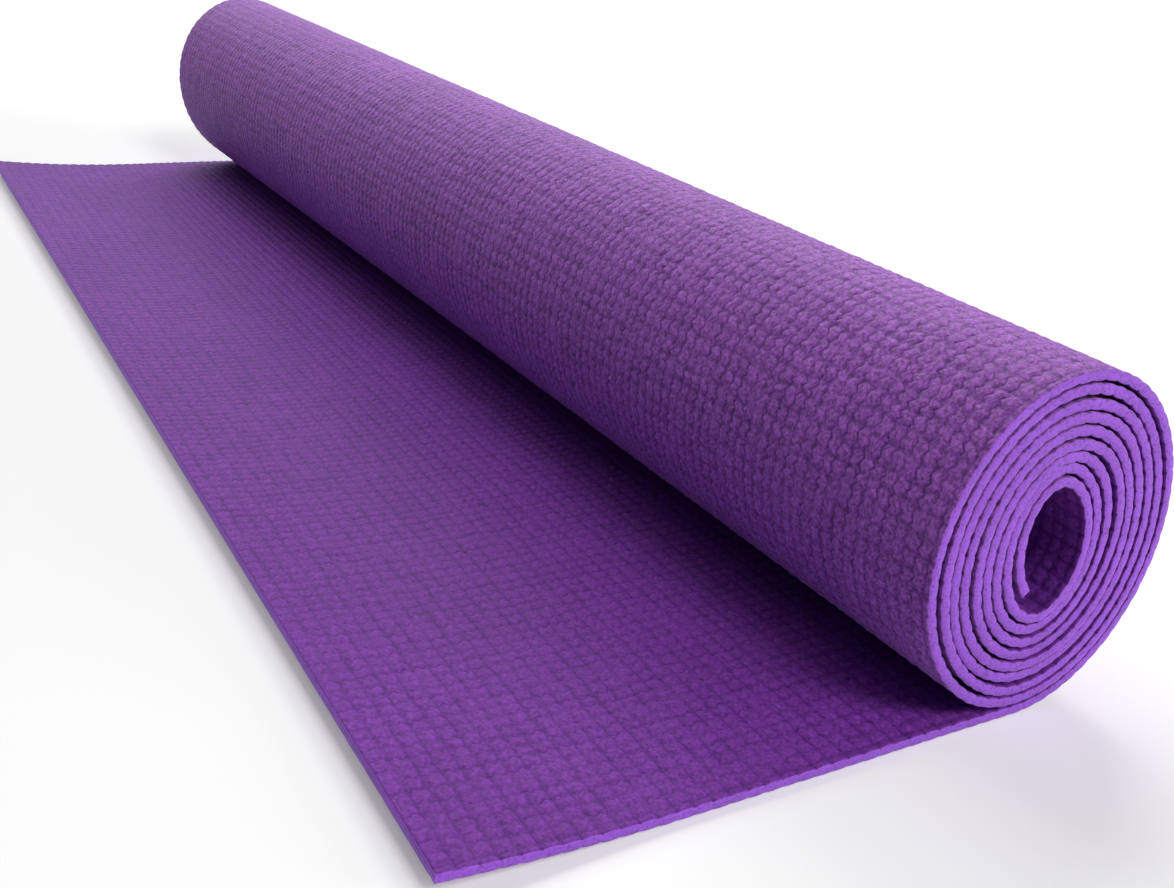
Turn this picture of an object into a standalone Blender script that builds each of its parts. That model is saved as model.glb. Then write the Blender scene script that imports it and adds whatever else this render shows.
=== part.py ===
"""Yoga mat, wound into a roll with a short free end lying flat in front of it.

The mat is one sheet of three bonded plies: a PVC foam ply that faces the floor,
a thin polyester scrim that keeps the sheet from stretching, and a PVC foam ply
that faces the user. All three follow the same path: along the floor from the
free end, under the roll, and round an oval spiral to the tail inside the core.

Axes: X is the unrolling direction, with the roll at +X and the free end at -X.
Y runs along the roll. Z is up, with the floor at zero. The origin is under the
middle of the whole mat. Lengths are in metres.
"""
from math import atan2, cos, pi, radians, sin

import bmesh
import bpy
from mathutils import Vector

# Sheet
MAT_WIDTH = 0.610
FOAM_PLY = 0.00104
SCRIM_PLY = 0.0002
PLY_CLEARANCE = 0.0003
SCRIM_EDGE_INSET = 0.0012

# Roll
CORE_WIDTH = 0.0202
CORE_HEIGHT = 0.0340
TURN_GAP = 0.00053
OVAL_LEAN = radians(8)
WHOLE_TURNS = 8
TAIL_ANGLE = radians(305)
TAIL_LIFT = 0.0010
TAIL_LIFT_ANGLE = radians(75)

# Free end
FREE_LENGTH = 0.1610
CURL_LENGTH = 0.070
CURL_RISE = 0.0042
FREE_END_SKEW = 0.019

# Facets
STEPS_PER_TURN = 40
CURL_STEPS = 7
SMOOTH_ANGLE = radians(30)
SOLIDIFY_SIDE = -1

# Sizes that follow from the ones above
SHEET_THICKNESS = 2 * FOAM_PLY + SCRIM_PLY + 2 * PLY_CLEARANCE
PITCH = SHEET_THICKNESS + TURN_GAP
WOUND_DEPTH = WHOLE_TURNS * PITCH + SHEET_THICKNESS
FIRST_HALF_WIDTH = CORE_WIDTH / 2 + WOUND_DEPTH + PITCH / 2
FIRST_HALF_HEIGHT = CORE_HEIGHT / 2 + WOUND_DEPTH + PITCH / 4
DRAWN_IN_PER_RADIAN = PITCH / (2 * pi)
FIRST_ANGLE = -atan2(
    FIRST_HALF_WIDTH * sin(OVAL_LEAN) + DRAWN_IN_PER_RADIAN * cos(OVAL_LEAN),
    FIRST_HALF_HEIGHT * cos(OVAL_LEAN) - DRAWN_IN_PER_RADIAN * sin(OVAL_LEAN),
)
LAST_ANGLE = WHOLE_TURNS * 2 * pi + TAIL_ANGLE

# Linear colours
PURPLE_FOAM = (0.190, 0.062, 0.330)
PURPLE_FOAM_UNDER = (0.165, 0.055, 0.290)
PALE_POLYESTER = (0.620, 0.560, 0.680)

COLLECTION_NAME = "yoga_mat"


def eased(share):
    """Rise from 0 to 1 with no corner at either end."""
    share = min(max(share, 0), 1)
    return share * share * (3 - 2 * share)


def oval_point(angle):
    """Floor side of the wound sheet, measured from the middle of the oval.

    The angle runs in the oval's own axes, from its lower end up its outer side.
    """
    drawn_in = DRAWN_IN_PER_RADIAN * (angle - FIRST_ANGLE)
    lift_start = LAST_ANGLE - TAIL_LIFT_ANGLE
    drawn_in += TAIL_LIFT * eased((angle - lift_start) / TAIL_LIFT_ANGLE)
    across = (FIRST_HALF_WIDTH - drawn_in) * sin(angle)
    along = -(FIRST_HALF_HEIGHT - drawn_in) * cos(angle)
    return Vector((
        across * cos(OVAL_LEAN) - along * sin(OVAL_LEAN),
        across * sin(OVAL_LEAN) + along * cos(OVAL_LEAN),
    ))


def wound_points():
    """Floor side of the wound sheet, starting where it leaves the floor level."""
    lowest = oval_point(FIRST_ANGLE)
    step_angle = 2 * pi / STEPS_PER_TURN
    steps = round((LAST_ANGLE - FIRST_ANGLE) / step_angle)
    angles = [FIRST_ANGLE + step_angle * step for step in range(steps)]
    return [oval_point(angle) - lowest for angle in angles + [LAST_ANGLE]]


def free_end_points():
    """Floor side of the free end, from its cut edge to where the curl meets the floor."""
    points = []
    for step in range(CURL_STEPS + 1):
        share = step / CURL_STEPS
        x = -FREE_LENGTH + CURL_LENGTH * share
        points.append(Vector((x, CURL_RISE * (1 - share) ** 2)))
    return points


def sheet_path():
    """Floor side of the whole sheet in the XZ plane, from the free end to the tail."""
    return free_end_points() + wound_points()


def middle_x():
    """Middle of the whole mat in X, measured from where the sheet leaves the floor."""
    return (max(point.x for point in wound_points()) - FREE_LENGTH) / 2


def moved_inwards(path, distance):
    """The path moved towards the user's side of the sheet by an even distance."""
    moved = []
    for place, point in enumerate(path):
        before = path[max(place - 1, 0)]
        after = path[min(place + 1, len(path) - 1)]
        into = (point - before).normalized() if place else (after - point).normalized()
        out_of = (after - point).normalized() if place < len(path) - 1 else into
        bisector = (into + out_of).normalized()
        normal = Vector((-bisector.y, bisector.x))
        moved.append(point + normal * (distance / bisector.dot(into)))
    return moved


def shortened(path, inset):
    """The path with a little taken off both of its ends."""
    first = path[0] + (path[1] - path[0]).normalized() * inset
    last = path[-1] + (path[-2] - path[-1]).normalized() * inset
    return [first] + path[1:-1] + [last]


def skew_at(x, y):
    """Shift in X that sets the free end slightly out of line with the roll."""
    share_of_width = y / MAT_WIDTH + 1 / 2
    share_of_free_end = min(max(-x / (FREE_LENGTH - CURL_LENGTH), 0), 1)
    return FREE_END_SKEW * share_of_width * share_of_free_end


def ply_material(name, color, roughness):
    material = bpy.data.materials.new(name)
    material.use_nodes = True
    shader = material.node_tree.nodes["Principled BSDF"]
    shader.inputs["Base Color"].default_value = (*color, 1)
    shader.inputs["Roughness"].default_value = roughness
    shader.inputs["Metallic"].default_value = 0
    return material


def add_ply(collection, name, depth, thickness, inset, material):
    """One ply: an open sheet along the path at its depth, thickened towards the user."""
    path = moved_inwards(sheet_path(), depth)
    if inset:
        path = shortened(path, inset)
    near_y = inset - MAT_WIDTH / 2
    sheet = bmesh.new()
    near = [sheet.verts.new((point.x, near_y, point.y)) for point in path]
    edges = [sheet.edges.new(pair) for pair in zip(near[:-1], near[1:])]
    extruded = bmesh.ops.extrude_edge_only(sheet, edges=edges)["geom"]
    far = [item for item in extruded if isinstance(item, bmesh.types.BMVert)]
    bmesh.ops.translate(sheet, verts=far, vec=(0, -2 * near_y, 0))
    origin_x = middle_x()
    for vertex in sheet.verts:
        vertex.co.x += skew_at(vertex.co.x, vertex.co.y) - origin_x
    mesh = bpy.data.meshes.new(name)
    sheet.to_mesh(mesh)
    sheet.free()
    mesh.materials.append(material)
    mesh.shade_smooth()
    mesh.set_sharp_from_angle(angle=SMOOTH_ANGLE)
    ply = bpy.data.objects.new(name, mesh)
    collection.objects.link(ply)
    thicken = ply.modifiers.new("Ply thickness", "SOLIDIFY")
    thicken.thickness = thickness
    thicken.offset = SOLIDIFY_SIDE
    thicken.use_even_offset = True
    return ply


def distance_to_segment(point, start, end):
    along = end - start
    share = min(max((point - start).dot(along) / along.length_squared, 0), 1)
    return (point - start - along * share).length


def least_gap():
    """Least distance from the user's side of the sheet to the turn that faces it."""
    floor_side = sheet_path()
    user_side = moved_inwards(floor_side, SHEET_THICKNESS)
    least = CORE_HEIGHT
    for place, point in enumerate(user_side):
        for other in range(place + STEPS_PER_TURN // 2, len(floor_side) - 1):
            gap = distance_to_segment(point, floor_side[other], floor_side[other + 1])
            least = min(least, gap)
    for place, point in enumerate(floor_side):
        for other in range(max(place - STEPS_PER_TURN // 2, 0)):
            gap = distance_to_segment(point, user_side[other], user_side[other + 1])
            least = min(least, gap)
    return least


def unrolled_length():
    """Length of the middle of the sheet along its whole path."""
    middle = moved_inwards(sheet_path(), SHEET_THICKNESS / 2)
    return sum((end - start).length for start, end in zip(middle[:-1], middle[1:]))


def build():
    for item in list(bpy.data.objects):
        bpy.data.objects.remove(item, do_unlink=True)
    collection = bpy.data.collections.new(COLLECTION_NAME)
    bpy.context.scene.collection.children.link(collection)

    floor_ply = ply_material("pvc_foam_floor_side", PURPLE_FOAM_UNDER, 0.72)
    scrim = ply_material("polyester_scrim", PALE_POLYESTER, 0.85)
    user_ply = ply_material("pvc_foam_user_side", PURPLE_FOAM, 0.68)

    scrim_depth = FOAM_PLY + PLY_CLEARANCE
    user_depth = scrim_depth + SCRIM_PLY + PLY_CLEARANCE
    add_ply(collection, "floor_side_foam", 0, FOAM_PLY, 0, floor_ply)
    add_ply(collection, "reinforcing_scrim", scrim_depth, SCRIM_PLY, SCRIM_EDGE_INSET, scrim)
    add_ply(collection, "user_side_foam", user_depth, FOAM_PLY, 0, user_ply)

    print(f"least gap between turns {least_gap() * 1000:.3f} mm")
    print(f"unrolled length {unrolled_length() * 1000:.0f} mm")


build()
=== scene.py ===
"""Visual model of a yoga mat, wound into a roll with a short free end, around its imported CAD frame.

The three plies are rebuilt along the CAD part's own path, from the same named sizes,
with the embossed pillows of both faces as real relief, uneven gaps between the turns
and softened cut edges. Lengths are in metres, in the frame of the CAD part.
"""
from math import atan2, cos, inf, pi, radians, sin

import bpy
import numpy as np
from mathutils import Euler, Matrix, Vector


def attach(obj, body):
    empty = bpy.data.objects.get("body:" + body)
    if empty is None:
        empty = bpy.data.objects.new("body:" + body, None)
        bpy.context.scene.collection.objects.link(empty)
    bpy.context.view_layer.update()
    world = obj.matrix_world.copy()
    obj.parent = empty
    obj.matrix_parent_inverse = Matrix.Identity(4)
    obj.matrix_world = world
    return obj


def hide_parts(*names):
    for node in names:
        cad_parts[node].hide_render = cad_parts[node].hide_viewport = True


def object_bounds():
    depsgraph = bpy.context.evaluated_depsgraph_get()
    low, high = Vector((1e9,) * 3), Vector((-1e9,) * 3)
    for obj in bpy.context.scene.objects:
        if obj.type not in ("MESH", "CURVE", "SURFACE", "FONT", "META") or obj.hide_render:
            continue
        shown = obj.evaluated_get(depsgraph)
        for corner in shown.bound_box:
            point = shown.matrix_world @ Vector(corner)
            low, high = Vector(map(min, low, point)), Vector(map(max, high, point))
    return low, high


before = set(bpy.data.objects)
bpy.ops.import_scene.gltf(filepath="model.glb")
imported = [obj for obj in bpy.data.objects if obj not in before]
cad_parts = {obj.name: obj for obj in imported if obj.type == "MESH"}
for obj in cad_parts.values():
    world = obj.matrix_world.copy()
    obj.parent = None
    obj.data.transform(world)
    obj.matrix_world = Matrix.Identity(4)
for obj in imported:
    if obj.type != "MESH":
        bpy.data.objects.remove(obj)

cad_low, cad_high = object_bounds()

# Sheet, as in the CAD part
MAT_WIDTH = 0.610
CAD_THICKNESS = 0.00288
TURN_GAP = 0.00053
SCRIM_EDGE_INSET = 0.0012

# Roll, as in the CAD part
CORE_WIDTH = 0.0202
CORE_HEIGHT = 0.0340
OVAL_LEAN = radians(8)
WHOLE_TURNS = 8
TAIL_ANGLE = radians(305)
TAIL_LIFT = 0.0010
TAIL_LIFT_ANGLE = radians(75)

# Free end, as in the CAD part
FREE_LENGTH = 0.1610
CURL_LENGTH = 0.070
CURL_RISE = 0.0042
FREE_END_SKEW = 0.019

# Sizes that follow from the ones above
PITCH = CAD_THICKNESS + TURN_GAP
WOUND_DEPTH = WHOLE_TURNS * PITCH + CAD_THICKNESS
FIRST_HALF_WIDTH = CORE_WIDTH / 2 + WOUND_DEPTH + PITCH / 2
FIRST_HALF_HEIGHT = CORE_HEIGHT / 2 + WOUND_DEPTH + PITCH / 4
DRAWN_IN_PER_RADIAN = PITCH / (2 * pi)
FIRST_ANGLE = -atan2(
    FIRST_HALF_WIDTH * sin(OVAL_LEAN) + DRAWN_IN_PER_RADIAN * cos(OVAL_LEAN),
    FIRST_HALF_HEIGHT * cos(OVAL_LEAN) - DRAWN_IN_PER_RADIAN * sin(OVAL_LEAN),
)
WOUND_ANGLE = WHOLE_TURNS * 2 * pi + TAIL_ANGLE - FIRST_ANGLE

# Sheet as it shows, over the tops of the pillows
THICKNESS = 0.00302
SCRIM_THICKNESS = 0.0002
EDGE_ROUNDING = 0.00016
EDGE_WANDER = 0.0009
EDGE_WANDER_LENGTH = 0.060
EDGE_WANDER_REACH_SHARE = 1 / 8
EDGE_RELIEF_SHARE = 0.75
EDGE_SEED = 5
STEPS_PER_TURN = 480
MENDED_TURN_SHARE = 1 / 4
CURL_POINTS = 80
SMOOTH_ANGLE = radians(62)

# Gap between each turn and the next as a share of the loosest, from the bottom of
# the roll round by its outer side, the top and the side over the free end
LOOSEST_GAP = 0.00125
GAP_SHARES = (
    (0.08, 0.12, 0.16, 0.24, 0.42, 0.74, 1.00, 0.72),
    (0.04, 0.02, 0.02, 0.12, 0.72, 0.64, 0.12, 0.04),
    (0.60, 0.75, 0.70, 0.45, 0.04, 0.02, 0.02, 0.02),
    (0.24, 0.24, 0.28, 0.26, 0.16, 0.08, 0.48, 0.48),
    (0.08, 0.02, 0.02, 0.26, 0.30, 0.28, 0.28, 0.28),
    (0.35, 0.64, 0.70, 0.55, 0.02, 0.02, 0.02, 0.12),
    (0.60, 0.64, 0.45, 0.35, 0.02, 0.02, 0.02, 0.20),
    (0.45, 0.50, 0.35, 0.25, 0.36, 0.14, 0.40, 0.45),
)

# Pillows. Each pair of shares is a place along a pillow and the height there.
PILLOW_WIDTH = 0.0041
PILLOW_LENGTH = 0.00485
USER_ACROSS_SHARES = ((0, 0.10), (0.17, 0.74), (0.50, 1), (0.83, 0.74))
USER_ALONG_SHARES = ((0, 0.05), (0.12, 0.60), (0.32, 0.95), (0.50, 1), (0.68, 0.95), (0.88, 0.60))
FLOOR_ACROSS_SHARES = ((0, 0), (0.17, 0.70), (0.50, 1), (0.83, 0.70))
FLOOR_ALONG_SHARES = ((0, 0.28), (0.14, 0.68), (0.32, 0.94), (0.50, 1), (0.68, 0.94), (0.86, 0.68))
RELIEF = 0.00062
ZIGZAG = 0.00060
ZIGZAG_PILLOWS = 2 / 3
GROOVE_WANDER = 0.00066
USER_ROW_WANDER = 0.00036
FLOOR_ROW_WANDER = 0.00100
UNEVEN_HEIGHT_SHARE = 0.35
MERGED_SHARE = 0.30
FLOOR_SEED = 11
USER_SEED = 12

# Stretches of the sheet, built with more columns of points where they show more
EDGE_COLUMNS = 7
UNDERSIDE_COLUMN_STEP = 2
CORE_COLUMN_STEP = 8
CORE_STRETCH = 0.105
CORE_SEEN_DEPTH = 0.085
SEEN_OVERLAP = 0.005
SCRIM_ROWS = 900
SCRIM_COLUMNS = 5

# Map of the flat sheet, as bands that run from low to high across a unit square
MAP_MARGIN = 0.005
MAP_BANDS = {
    "face": (0.01, 0.90),
    "near_cut": (0.91, 0.935),
    "far_cut": (0.945, 0.97),
    "inner": (0.975, 0.98),
    "end_cut": (0.985, 0.995),
}
END_CUT_WIDTH = 0.49
SECOND_END_CUT_START = 0.51
HIDDEN_MAP_SHARE = 0.06

# Linear colours
USER_PURPLE = (0.193, 0.036, 0.342)
FLOOR_PURPLE = (0.365, 0.110, 0.545)
USER_SHEEN = 0.03
FLOOR_SHEEN = 0.20
# Painted shade in the grooves: the share of each colour channel left at the bottom of the relief
USER_GROOVE_PAINTED_SHADE_SHARES = (0.56, 0.40, 0.66)
FLOOR_GROOVE_PAINTED_SHADE_SHARES = (0.46, 0.32, 0.54)
USER_SPECKLE_SHARE = 0.42
FLOOR_SPECKLE_SHARE = 0.60
CUT_PURPLE = (0.375, 0.095, 0.790)
SCRIM_LILAC = (0.620, 0.560, 0.680)
SCRIM_GAP = (0.300, 0.200, 0.380)
SHEEN_LILAC = (0.90, 0.84, 1.00)
FLOOR_WHITE = (0.90, 0.90, 0.90)

# Colour of the faces by the height of the relief, as painted shade in the grooves and painted light on the
# pillow tops, and of the cut foam by its cells. Each pair is a height or a level of noise and the share of
# the full colour there.
FACE_PAINTED_SHADE_AND_LIGHT_SHARES = ((0.08, 0), (0.30, 0.50), (0.60, 0.95), (1, 1.15))
CUT_RAMP_SHARES = ((0.30, 0.42), (0.42, 0.71), (0.52, 1))

# Noise in the materials
NOISE_ROUGHNESS = 0.7
NOISE_RANGE = (0.3, 0.7)
GRAIN_RANGE = (0.35, 0.65)
GRAIN_SIZE = 0.0010
CELL_SIZE = 0.0007
FACE_CLOUD_SIZE = 0.07
FACE_CLOUD_SHARE = 0.07
CUT_CLOUD_SIZE = 0.012
CUT_CLOUD_SHARE = 0.08
BUMP_DEPTH = 0.0003
BUMP_STRENGTH = 0.6

# Weave of the scrim, in the units of its map
WEAVE_SCALE = 60
YARN_WIDTH = 0.012
YARN_SPACING = 0.1
WEAVE_BUMP_DEPTH = 0.0001

# Floor and lights. A lamp has a name, a place, a size and a power in watts.
FLOOR_CLEARANCE = 0.0002
FLOOR_REACH = 5
FLOOR_LIFT = 0.25
FLOOR_FADE_START = 0.5
FLOOR_FADE_END = 1.0
WORLD_STRENGTH = 0.03
LAMPS = (
    ("front_lamp", (0.2, -1.8, 1.8), 0.8, 24),
    ("right_front_lamp", (1.7, -1.7, 0.7), 0.9, 18),
    ("back_lamp", (0, 1.8, 1.8), 2.0, 28),
    ("right_back_lamp", (2.4, 2.4, 3.0), 1.5, 66),
)

# Camera, from the photo
PHOTO_WIDTH = 1174
FOCAL_PIXELS = 1365.15
CAMERA_PLACE = (-0.25474, -0.49075, 0.19120)
CAMERA_TURN_DEGREES = (64.6467, -5.0293, -30.4349)
SHIFT_UP_PIXELS = 42.75
NEAREST_SEEN = 0.01


def eased(share):
    """Rise from 0 to 1 with no corner at either end."""
    share = np.clip(share, 0, 1)
    return share * share * (3 - 2 * share)


def oval_points(angle):
    """Floor side of the wound sheet, measured from the middle of the oval."""
    drawn_in = DRAWN_IN_PER_RADIAN * (angle - FIRST_ANGLE)
    across = (FIRST_HALF_WIDTH - drawn_in) * np.sin(angle)
    along = -(FIRST_HALF_HEIGHT - drawn_in) * np.cos(angle)
    return np.stack([
        across * cos(OVAL_LEAN) - along * sin(OVAL_LEAN),
        across * sin(OVAL_LEAN) + along * cos(OVAL_LEAN),
    ], axis=-1)


def gap_at(turned):
    """Gap to the next turn at an angle turned since the sheet left the floor."""
    shares = np.array(GAP_SHARES).ravel()
    place = turned / (2 * pi) * len(GAP_SHARES[0])
    first = min(int(place), len(shares) - 2)
    return LOOSEST_GAP * (shares[first] + (shares[first + 1] - shares[first]) * eased(place - first))


def wound_points():
    """Floor side of the wound sheet: the CAD's outer turn, then each turn inside the last."""
    step_angle = 2 * pi / STEPS_PER_TURN
    steps = int(WOUND_ANGLE / step_angle) + 1
    points = np.zeros((steps + STEPS_PER_TURN + 2, 2))
    outer_turn = oval_points(FIRST_ANGLE + step_angle * np.arange(STEPS_PER_TURN + 1))
    points[:STEPS_PER_TURN + 1] = outer_turn - outer_turn[0]
    for step in range(steps):
        ahead = points[step + 1] - points[max(step - 1, 0)]
        inwards = np.array([-ahead[1], ahead[0]]) / np.linalg.norm(ahead)
        inner = points[step] + inwards * (THICKNESS + gap_at(step * step_angle))
        if step == 0:
            mend = points[STEPS_PER_TURN] - inner
        left_to_mend = 1 - eased(step / (MENDED_TURN_SHARE * STEPS_PER_TURN))
        points[step + STEPS_PER_TURN] = inner + mend * left_to_mend
    lifted = points[:steps + 1]
    ahead = np.gradient(lifted, axis=0)
    inwards = np.stack([-ahead[:, 1], ahead[:, 0]], axis=-1) / np.linalg.norm(ahead, axis=1)[:, None]
    to_tail = (steps - np.arange(steps + 1)) * step_angle
    return lifted + TAIL_LIFT * inwards * eased(1 - to_tail / TAIL_LIFT_ANGLE)[:, None]


def sheet_path():
    """Floor side of the whole sheet in the XZ plane and the distance along it."""
    share = np.arange(CURL_POINTS) / CURL_POINTS
    curl = np.stack([-FREE_LENGTH + CURL_LENGTH * share, CURL_RISE * (1 - share) ** 2], axis=-1)
    path = np.concatenate([curl, [[CURL_LENGTH - FREE_LENGTH, 0]], wound_points()])
    steps = np.linalg.norm(path[1:] - path[:-1], axis=1)
    return path, np.concatenate([[0], np.cumsum(steps)])


def path_normals(path, distance):
    """Unit vectors towards the user's side of the sheet."""
    ahead = np.stack([np.gradient(path[:, 0], distance), np.gradient(path[:, 1], distance)], axis=-1)
    ahead /= np.linalg.norm(ahead, axis=1)[:, None]
    return np.stack([-ahead[:, 1], ahead[:, 0]], axis=-1)


PATH, DISTANCE = sheet_path()
NORMALS = path_normals(PATH, DISTANCE)
SHEET_LENGTH = DISTANCE[-1]
FREE_END = DISTANCE[CURL_POINTS + 1]
OUTER_TURN_END = DISTANCE[CURL_POINTS + 1 + STEPS_PER_TURN]
MIDDLE_X = -FREE_LENGTH - cad_low.x


def smooth_noise(values, places):
    """A row of values read smoothly between its entries."""
    first = places.astype(int)
    share = eased(places - first)
    return values[first] * (1 - share) + values[first + 1] * share


def edge_wander(along, across):
    """How far the cut edges come in, as one cut with a knife by hand."""
    random = np.random.default_rng(EDGE_SEED)
    values = EDGE_WANDER * random.random((2, int(SHEET_LENGTH / EDGE_WANDER_LENGTH) + 2))
    inwards = [smooth_noise(side, along / EDGE_WANDER_LENGTH) for side in values]
    share_of_half = np.abs(across) / (MAT_WIDTH / 2)
    share = eased((share_of_half - 1 + EDGE_WANDER_REACH_SHARE) / EDGE_WANDER_REACH_SHARE)
    return share * np.where(across < 0, inwards[0], -inwards[1])


def placed(along, across, depth):
    """Points in the frame of the CAD part, from places in the flat sheet."""
    x = np.interp(along, DISTANCE, PATH[:, 0]) + depth * np.interp(along, DISTANCE, NORMALS[:, 0])
    z = np.interp(along, DISTANCE, PATH[:, 1]) + depth * np.interp(along, DISTANCE, NORMALS[:, 1])
    share_of_width = across / MAT_WIDTH + 1 / 2
    share_of_free_end = np.where(along < FREE_END, np.clip(-x / (FREE_LENGTH - CURL_LENGTH), 0, 1), 0)
    x = x + FREE_END_SKEW * share_of_width * share_of_free_end - MIDDLE_X
    return np.stack([x, across + edge_wander(along, across), z], axis=-1)


def spread_places(length, pillow, shares, first_share):
    """Places, heights and pillow numbers along one side of the sheet, from edge to edge."""
    count = round(length / pillow)
    numbers = np.arange(count + 1)[:, None] + np.array([share[0] for share in shares])
    heights = np.broadcast_to([share[1] for share in shares], numbers.shape)
    places = (numbers - first_share) * length / count
    inside = (places > 2 * EDGE_ROUNDING) & (places < length - 2 * EDGE_ROUNDING)
    return (
        np.concatenate([[0, EDGE_ROUNDING], places[inside], [length - EDGE_ROUNDING, length]]),
        np.concatenate([[1, 1], heights[inside], [1, 1]]),
        np.concatenate([[0, 0], numbers[inside], [count, count]]),
    )


def read_lattice(lattice, rows, columns):
    """Values of a lattice of noise, read evenly between its corners."""
    row, column = rows.astype(int), columns.astype(int)
    row_share, column_share = (rows - row)[:, None], (columns - column)[None, :]
    near, far = (
        lattice[np.ix_(row + more, column)] * (1 - column_share)
        + lattice[np.ix_(row + more, column + 1)] * column_share
        for more in (0, 1)
    )
    return near * (1 - row_share) + far * row_share


def zipped(first, first_places, second, second_places):
    """Triangles between two rows of points that differ in number."""
    triangles = []
    a, b = 0, 0
    while a < len(first) - 1 or b < len(second) - 1:
        second_done = b == len(second) - 1
        if second_done or (a < len(first) - 1 and first_places[a + 1] <= second_places[b + 1]):
            triangles.append((first[a], first[a + 1], second[b]))
            a += 1
        else:
            triangles.append((first[a], second[b + 1], second[b]))
            b += 1
    return np.array(triangles)


class SheetMesh:
    """Points of a closed sheet, each with its place in the flat sheet, and its faces by part."""

    def __init__(self):
        self.points = []
        self.count = 0
        self.faces = []

    def add_points(self, along, across, depth, relief):
        numbers = self.count + np.arange(depth.size).reshape(depth.shape)
        values = [np.broadcast_to(value, depth.shape).ravel() for value in (along, across, depth, relief)]
        self.points.append(np.stack(values, axis=-1))
        self.count += depth.size
        return numbers

    def add_faces(self, part, corners):
        self.faces.append((part, corners.reshape(-1, corners.shape[-1])))

    def add_quads(self, part, rows_first, rows_next):
        """Quads between two blocks of points, facing along the row's step crossed with the columns'."""
        self.add_faces(part, np.stack([
            rows_first[..., :-1], rows_next[..., :-1], rows_next[..., 1:], rows_first[..., 1:]], axis=-1))

    def add_cuts(self, face, face_next, inner, inner_next):
        """Quads of both side edges, between rows of the face and rows of the inner side."""
        self.add_faces("far_cut", np.stack([
            face[:, -1], face_next[:, -1], inner_next[:, -1], inner[:, -1]], axis=-1))
        self.add_faces("near_cut", np.stack([
            inner[:, 0], inner_next[:, 0], face_next[:, 0], face[:, 0]], axis=-1))

    def to_object(self, name, flipped, map_place, materials):
        points = np.concatenate(self.points)
        mesh = bpy.data.meshes.new(name)
        mesh.vertices.add(len(points))
        places = placed(points[:, 0], points[:, 1], points[:, 2])
        mesh.vertices.foreach_set("co", places.astype(np.float32).ravel())
        faces = [(part, corners[:, ::-1] if flipped else corners) for part, corners in self.faces]
        corners = np.concatenate([corners.ravel() for part, corners in faces])
        sizes = np.concatenate([np.full(len(corners), corners.shape[1]) for part, corners in faces])
        mesh.loops.add(len(corners))
        mesh.loops.foreach_set("vertex_index", corners.astype(np.int32))
        mesh.polygons.add(len(sizes))
        mesh.polygons.foreach_set("loop_start", (np.cumsum(sizes) - sizes).astype(np.int32))
        cut = np.concatenate([np.full(len(corners), part != "face") for part, corners in faces])
        mesh.polygons.foreach_set("material_index", cut.astype(np.int32))
        mesh.update(calc_edges=True)
        relief = mesh.attributes.new("relief", "FLOAT", "POINT")
        relief.data.foreach_set("value", points[:, 3].astype(np.float32))
        spread = mesh.uv_layers.new(name="OFBake")
        flat = [map_place(part, *points[corners.ravel(), :3].T) for part, corners in faces]
        spread.uv.foreach_set("vector", np.concatenate(flat).astype(np.float32).ravel())
        for material in materials:
            mesh.materials.append(material)
        mesh.validate()
        mesh.shade_smooth()
        mesh.set_sharp_from_angle(angle=SMOOTH_ANGLE)
        piece = bpy.data.objects.new(name, mesh)
        bpy.context.scene.collection.objects.link(piece)
        return piece


def stretch_columns(across, kind):
    """Numbers of the columns of points that a stretch of the sheet is built with."""
    numbers = np.arange(len(across))
    from_edge = MAT_WIDTH / 2 - np.abs(across)
    at_edge = (numbers < EDGE_COLUMNS) | (numbers >= len(across) - EDGE_COLUMNS)
    chosen = {
        "seen": numbers >= 0,
        "underside": at_edge | (numbers % UNDERSIDE_COLUMN_STEP == 0),
        "hidden": at_edge,
        "core": (from_edge < CORE_SEEN_DEPTH) | (numbers % CORE_COLUMN_STEP == 0),
    }
    return numbers[chosen[kind]]


def stretched_map(stretches):
    """A map of the flat sheet that gives most of its width to the stretches that show."""
    ends = np.array([start for start, kind in stretches] + [SHEET_LENGTH])
    weights = np.array([HIDDEN_MAP_SHARE if kind == "hidden" else 1 for start, kind in stretches])
    widths = np.concatenate([[0], np.cumsum((ends[1:] - ends[:-1]) * weights)])

    def map_place(part, along, across, depth):
        low, high = MAP_BANDS[part]
        share_of_width = across / MAT_WIDTH + 1 / 2
        if part in ("face", "inner"):
            u, v = np.interp(along, ends, widths / widths[-1]), share_of_width
        elif part == "end_cut":
            u = share_of_width * END_CUT_WIDTH + SECOND_END_CUT_START * (along > SHEET_LENGTH / 2)
            v = depth / THICKNESS
        else:
            u, v = along / SHEET_LENGTH, depth / THICKNESS
        return np.stack([MAP_MARGIN + (1 - 2 * MAP_MARGIN) * u, low + (high - low) * v], axis=-1)

    return map_place


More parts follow.
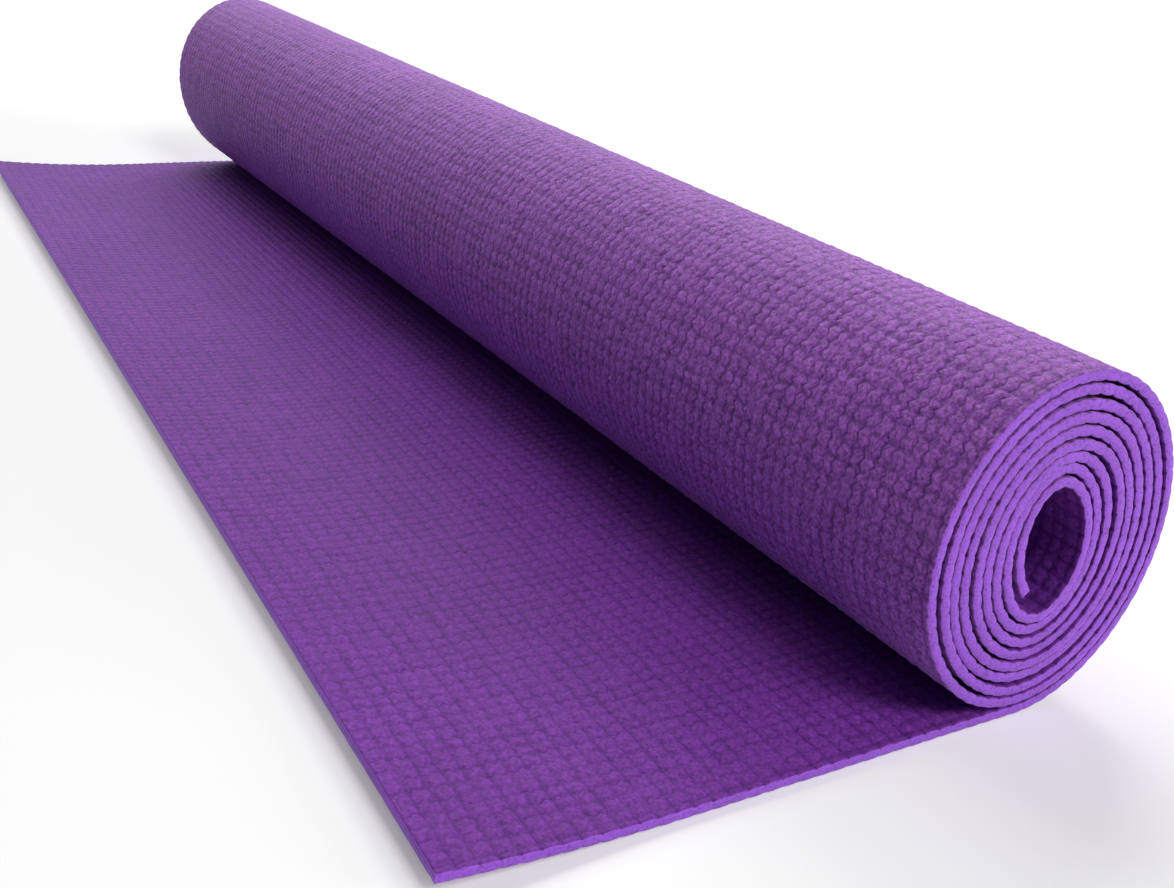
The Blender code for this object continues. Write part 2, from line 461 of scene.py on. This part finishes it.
def foam_ply(name, user_side, stretches, materials, seed):
    """One foam ply: a face with pillows, soft cut edges and a plain inner side."""
    random = np.random.default_rng(seed)
    along_shares = USER_ALONG_SHARES if user_side else FLOOR_ALONG_SHARES
    across_shares = USER_ACROSS_SHARES if user_side else FLOOR_ACROSS_SHARES
    row_wander = USER_ROW_WANDER if user_side else FLOOR_ROW_WANDER
    along, along_height, along_number = spread_places(SHEET_LENGTH, PILLOW_LENGTH, along_shares, 0)
    across, across_height, across_number = spread_places(MAT_WIDTH, PILLOW_WIDTH, across_shares, 0.5)
    across = across - MAT_WIDTH / 2
    lattice_size = int(along_number.max()) + 3, int(across_number.max()) + 3
    wander_along = random.uniform(-1, 1, lattice_size)
    wander_across = random.uniform(-1, 1, lattice_size)
    pillow_height = 1 - UNEVEN_HEIGHT_SHARE * random.random(lattice_size)
    merged = MERGED_SHARE * random.random(lattice_size) ** 2

    mesh = SheetMesh()
    inner_across = np.array([0, SCRIM_EDGE_INSET, MAT_WIDTH - SCRIM_EDGE_INSET, MAT_WIDTH]) - MAT_WIDTH / 2
    recess = np.array([[0, 1, 1, 0]]) * SCRIM_THICKNESS / 2
    ends = [start for start, kind in stretches[1:]] + [inf]
    before = None
    for (start, kind), end in zip(stretches, ends):
        rows = np.flatnonzero((along >= start) & (along < end))
        columns = stretch_columns(across, kind)
        s, y = along[rows][:, None], across[columns][None, :]
        row_number, column_number = along_number[rows], across_number[columns]
        height = along_height[rows][:, None] * across_height[columns][None, :]
        height = height * pillow_height[np.ix_(row_number.astype(int), column_number.astype(int))]
        height = height + (1 - height) * read_lattice(merged, row_number, column_number)
        to_end, to_side = np.minimum(s, SHEET_LENGTH - s), MAT_WIDTH / 2 - np.abs(y)
        at_edge = (to_end < EDGE_ROUNDING / 2) | (to_side < EDGE_ROUNDING / 2)
        at_rim = np.minimum(to_end, to_side) < 2 * EDGE_ROUNDING
        flattened = np.where(at_rim, EDGE_RELIEF_SHARE, 1)
        from_face = RELIEF * flattened * (1 - height) + EDGE_ROUNDING * at_edge
        freedom = eased(np.minimum(to_end, to_side) / PILLOW_WIDTH)
        zigzag = ZIGZAG * np.cos(2 * pi * row_number / ZIGZAG_PILLOWS)[:, None]
        face = mesh.add_points(
            s + freedom * row_wander * read_lattice(wander_along, row_number, column_number),
            y + freedom * (zigzag + GROOVE_WANDER * read_lattice(wander_across, row_number, column_number)),
            THICKNESS - from_face if user_side else from_face,
            height,
        )
        lowered = recess * (to_end > SCRIM_EDGE_INSET / 2)
        inner_depth = THICKNESS / 2 + (lowered if user_side else -lowered)
        inner = mesh.add_points(s, inner_across[None, :], inner_depth, 1)

        if before:
            joined_face, joined_across, joined_inner = before
            joint = zipped(joined_face, joined_across, face[0], across[columns])
            mesh.add_faces("face", joint[:, ::-1])
            mesh.add_quads("inner", inner[0], joined_inner)
            mesh.add_cuts(joined_face[None, :], face[:1], joined_inner[None, :], inner[:1])
        else:
            mesh.add_faces("end_cut", zipped(face[0], across[columns], inner[0], inner_across))
        mesh.add_quads("face", face[:-1], face[1:])
        mesh.add_quads("inner", inner[1:], inner[:-1])
        mesh.add_cuts(face[:-1], face[1:], inner[:-1], inner[1:])
        before = face[-1], across[columns], inner[-1]
    last_face, last_across, last_inner = before
    mesh.add_faces("end_cut", zipped(last_face, last_across, last_inner, inner_across)[:, ::-1])
    return mesh.to_object(name, not user_side, stretched_map(stretches), materials)


def scrim_sheet(name, material):
    """The scrim as one thin closed sheet between the foam plies."""
    mesh = SheetMesh()
    along = np.linspace(SCRIM_EDGE_INSET, SHEET_LENGTH - SCRIM_EDGE_INSET, SCRIM_ROWS)[:, None]
    across = np.linspace(-1, 1, SCRIM_COLUMNS)[None, :] * (MAT_WIDTH / 2 - SCRIM_EDGE_INSET)
    depth = np.full((SCRIM_ROWS, SCRIM_COLUMNS), THICKNESS / 2)
    upper = mesh.add_points(along, across, depth + SCRIM_THICKNESS / 2, 1)
    lower = mesh.add_points(along, across, depth - SCRIM_THICKNESS / 2, 1)
    mesh.add_quads("face", upper[:-1], upper[1:])
    mesh.add_quads("inner", lower[1:], lower[:-1])
    mesh.add_quads("end_cut", lower[0], upper[0])
    mesh.add_quads("end_cut", upper[-1], lower[-1])
    mesh.add_quads("near_cut", upper[:, 0], lower[:, 0])
    mesh.add_quads("far_cut", lower[:, -1], upper[:, -1])
    return mesh.to_object(name, False, stretched_map([(0, "seen")]), [material, material])


def add_node(tree, kind, values=None, **settings):
    """A node with its settings, and its inputs set to values or linked to outputs."""
    node = tree.nodes.new(kind)
    for name, value in settings.items():
        setattr(node, name, value)
    for name, value in (values or {}).items():
        if isinstance(value, bpy.types.NodeSocket):
            tree.links.new(value, node.inputs[name])
        else:
            node.inputs[name].default_value = value
    return node


def set_ramp(ramp, stops):
    """Give a colour ramp its stops, each a place and a linear colour."""
    elements = ramp.color_ramp.elements
    while len(elements) < len(stops):
        elements.new(1)
    for element, (place, color) in zip(elements, stops):
        element.position = place
        element.color = (*color, 1)


def new_material(name, **constants):
    """A material and its shader, with the values that are the same all over."""
    material = bpy.data.materials.new(name)
    material.use_nodes = True
    shader = material.node_tree.nodes["Principled BSDF"]
    for socket, value in constants.items():
        shader.inputs[socket.replace("_", " ")].default_value = value
    return material, material.node_tree, shader


def noise(tree, coordinates, size, detail):
    """Noise whose blotches are about the given size."""
    values = {"Vector": coordinates, "Scale": 1 / size, "Detail": detail, "Roughness": NOISE_ROUGHNESS}
    return add_node(tree, "ShaderNodeTexNoise", values).outputs["Fac"]


def ranged(tree, value, low, high, from_low, from_high):
    """A value brought from one range to another."""
    values = {"Value": value, "From Min": from_low, "From Max": from_high, "To Min": low, "To Max": high}
    return add_node(tree, "ShaderNodeMapRange", values).outputs["Result"]


def varied(tree, value, share, usual_range=NOISE_RANGE):
    """A factor that noise, over its usual range, takes a share below one and a share above it."""
    return ranged(tree, value, 1 - share, 1 + share, *usual_range)


def brightened(tree, color, *factors):
    """A colour times each of the factors."""
    for factor in factors:
        color = add_node(
            tree, "ShaderNodeVectorMath", {0: color, "Scale": factor}, operation="SCALE").outputs["Vector"]
    return color


def add_bump(tree, shader, height, depth, strength):
    """Fine relief of the surface, too small to be built."""
    bump = add_node(tree, "ShaderNodeBump", {"Height": height, "Distance": depth, "Strength": strength})
    tree.links.new(bump.outputs["Normal"], shader.inputs["Normal"])


def foam_face(name, color, groove_shade_shares, speckle_share, sheen):
    """Embossed foam skin: painted shade in the grooves and painted light on the pillow tops, speckled, with
    a fine grain.
    """
    material, tree, shader = new_material(
        name, Roughness=0.6, Specular_IOR_Level=0.18, Sheen_Weight=sheen, Sheen_Roughness=0.45)
    shader.inputs["Sheen Tint"].default_value = (*SHEEN_LILAC, 1)
    coordinates = add_node(tree, "ShaderNodeTexCoord").outputs["Object"]
    relief = add_node(tree, "ShaderNodeAttribute", attribute_name="relief").outputs["Fac"]
    # Painted shade in the grooves and painted light on the pillow tops, read from the height of the relief
    ramp = add_node(tree, "ShaderNodeValToRGB", {"Fac": relief})
    painted_groove_shade = [share * part for share, part in zip(groove_shade_shares, color)]
    set_ramp(ramp, [(place, [dark + (part - dark) * share for dark, part in zip(painted_groove_shade, color)])
                    for place, share in FACE_PAINTED_SHADE_AND_LIGHT_SHARES])
    clouds = varied(tree, noise(tree, coordinates, FACE_CLOUD_SIZE, 3), FACE_CLOUD_SHARE)
    grain = noise(tree, coordinates, GRAIN_SIZE, 4)
    speckle = varied(tree, grain, speckle_share, GRAIN_RANGE)
    tree.links.new(brightened(tree, ramp.outputs["Color"], clouds, speckle), shader.inputs["Base Color"])
    add_bump(tree, shader, grain, BUMP_DEPTH, BUMP_STRENGTH)
    return material


def foam_cut(name, color):
    """Cut foam: bright, with small open cells."""
    material, tree, shader = new_material(name, Roughness=0.7, Sheen_Weight=0.1)
    coordinates = add_node(tree, "ShaderNodeTexCoord").outputs["Object"]
    cells = noise(tree, coordinates, CELL_SIZE, 4)
    ramp = add_node(tree, "ShaderNodeValToRGB", {"Fac": cells})
    set_ramp(ramp, [(place, [share * part for part in color]) for place, share in CUT_RAMP_SHARES])
    clouds = varied(tree, noise(tree, coordinates, CUT_CLOUD_SIZE, 2), CUT_CLOUD_SHARE)
    tree.links.new(brightened(tree, ramp.outputs["Color"], clouds), shader.inputs["Base Color"])
    add_bump(tree, shader, cells, BUMP_DEPTH, BUMP_STRENGTH)
    return material


def scrim_weave(name, color):
    """Open polyester mesh: pale yarns, darker between them."""
    material, tree, shader = new_material(name, Roughness=0.8, Sheen_Weight=0.3)
    coordinates = add_node(tree, "ShaderNodeTexCoord").outputs["UV"]
    grid = {"Vector": coordinates, "Scale": WEAVE_SCALE, "Mortar Size": YARN_WIDTH,
            "Color1": (*SCRIM_GAP, 1), "Color2": (*SCRIM_GAP, 1), "Mortar": (*color, 1),
            "Brick Width": YARN_SPACING, "Row Height": YARN_SPACING}
    weave = add_node(tree, "ShaderNodeTexBrick", grid, offset=0)
    tree.links.new(weave.outputs["Color"], shader.inputs["Base Color"])
    add_bump(tree, shader, weave.outputs["Fac"], WEAVE_BUMP_DEPTH, 1)
    return material


def seen_directly(tree):
    """One for rays from the camera, from gloss and from glass, and zero for the rest."""
    rays = add_node(tree, "ShaderNodeLightPath").outputs
    either = add_node(tree, "ShaderNodeMath", {
        0: rays["Is Camera Ray"], 1: rays["Is Glossy Ray"]}, operation="MAXIMUM")
    return add_node(tree, "ShaderNodeMath", {
        0: either.outputs[0], 1: rays["Is Transmission Ray"]}, operation="MAXIMUM").outputs[0]


def add_floor():
    """A pale floor that keeps the shadow near the mat and reads as white further off."""
    material, tree, shader = new_material("pale_floor", Roughness=0.9, Specular_IOR_Level=0)
    shader.inputs["Base Color"].default_value = (*FLOOR_WHITE, 1)
    shader.inputs["Emission Color"].default_value = (1, 1, 1, 1)
    seen = seen_directly(tree)
    lift = add_node(tree, "ShaderNodeMath", {0: seen, 1: FLOOR_LIFT}, operation="MULTIPLY")
    tree.links.new(lift.outputs[0], shader.inputs["Emission Strength"])
    coordinates = add_node(tree, "ShaderNodeTexCoord").outputs["Object"]
    distance = add_node(tree, "ShaderNodeVectorMath", {0: coordinates}, operation="LENGTH").outputs["Value"]
    far = ranged(tree, distance, 0, 1, FLOOR_FADE_START, FLOOR_FADE_END)
    white = add_node(tree, "ShaderNodeEmission", {"Color": (1, 1, 1, 1), "Strength": 1})
    seen_far = add_node(tree, "ShaderNodeMath", {0: far, 1: seen}, operation="MULTIPLY").outputs[0]
    mixed = add_node(tree, "ShaderNodeMixShader", {0: seen_far, 1: shader.outputs[0], 2: white.outputs[0]})
    tree.links.new(mixed.outputs[0], tree.nodes["Material Output"].inputs["Surface"])
    mesh = bpy.data.meshes.new("floor")
    level = cad_low.z - FLOOR_CLEARANCE
    corners = [(x, y, level) for x, y in ((-1, -1), (1, -1), (1, 1), (-1, 1))]
    mesh.from_pydata([(x * FLOOR_REACH, y * FLOOR_REACH, z) for x, y, z in corners], [], [(0, 1, 2, 3)])
    mesh.materials.append(material)
    floor = bpy.data.objects.new("floor", mesh)
    bpy.context.scene.collection.objects.link(floor)


def add_world():
    """Even soft light from all round, white where it is seen directly."""
    world = bpy.data.worlds.new("studio")
    world.use_nodes = True
    bpy.context.scene.world = world
    tree = world.node_tree
    strength = add_node(tree, "ShaderNodeMapRange", {
        "Value": seen_directly(tree), "To Min": WORLD_STRENGTH, "To Max": 1.0})
    background = tree.nodes["Background"]
    background.inputs["Color"].default_value = (1, 1, 1, 1)
    tree.links.new(strength.outputs["Result"], background.inputs["Strength"])


def add_lamp(name, place, size, power):
    """A soft square lamp that faces the middle of the mat."""
    light = bpy.data.lights.new(name, "AREA")
    light.size = size
    light.energy = power
    lamp = bpy.data.objects.new(name, light)
    lamp.location = place
    lamp.rotation_euler = (-Vector(place)).to_track_quat("-Z", "Y").to_euler()
    bpy.context.scene.collection.objects.link(lamp)


def add_camera():
    """The photo's camera, at its place in the frame of the CAD part."""
    data = bpy.data.cameras.new("photo_camera")
    data.sensor_fit = "HORIZONTAL"
    data.lens = FOCAL_PIXELS * data.sensor_width / PHOTO_WIDTH
    data.shift_y = SHIFT_UP_PIXELS / PHOTO_WIDTH
    data.clip_start = NEAREST_SEEN
    camera = bpy.data.objects.new("photo_camera", data)
    camera.location = Vector(CAMERA_PLACE) - Vector((MIDDLE_X, 0, 0))
    camera.rotation_euler = Euler([radians(turn) for turn in CAMERA_TURN_DEGREES])
    bpy.context.scene.collection.objects.link(camera)
    bpy.context.scene.camera = camera


add_camera()
add_world()
add_floor()
for lamp in LAMPS:
    add_lamp(*lamp)

cut = foam_cut("cut_foam", CUT_PURPLE)
floor_side = foam_ply(
    "floor_side_foam_relief", False,
    [(0, "underside"), (FREE_END, "seen"), (OUTER_TURN_END + SEEN_OVERLAP, "hidden")],
    [foam_face("floor_side_skin", FLOOR_PURPLE, FLOOR_GROOVE_PAINTED_SHADE_SHARES, FLOOR_SPECKLE_SHARE, FLOOR_SHEEN), cut],
    seed=FLOOR_SEED)
user_side = foam_ply(
    "user_side_foam_relief", True,
    [(0, "seen"), (FREE_END + SEEN_OVERLAP, "hidden"), (SHEET_LENGTH - CORE_STRETCH, "core")],
    [foam_face("user_side_skin", USER_PURPLE, USER_GROOVE_PAINTED_SHADE_SHARES, USER_SPECKLE_SHARE, USER_SHEEN), cut],
    seed=USER_SEED)
scrim = scrim_sheet("scrim_weave", scrim_weave("polyester_weave", SCRIM_LILAC))

for piece, part_name in (
        (floor_side, "floor_side_foam"), (user_side, "user_side_foam"), (scrim, "reinforcing_scrim")):
    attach(piece, "root")
    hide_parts(part_name)

bpy.context.scene.view_settings.view_transform = "Standard"

bpy.context.view_layer.update()
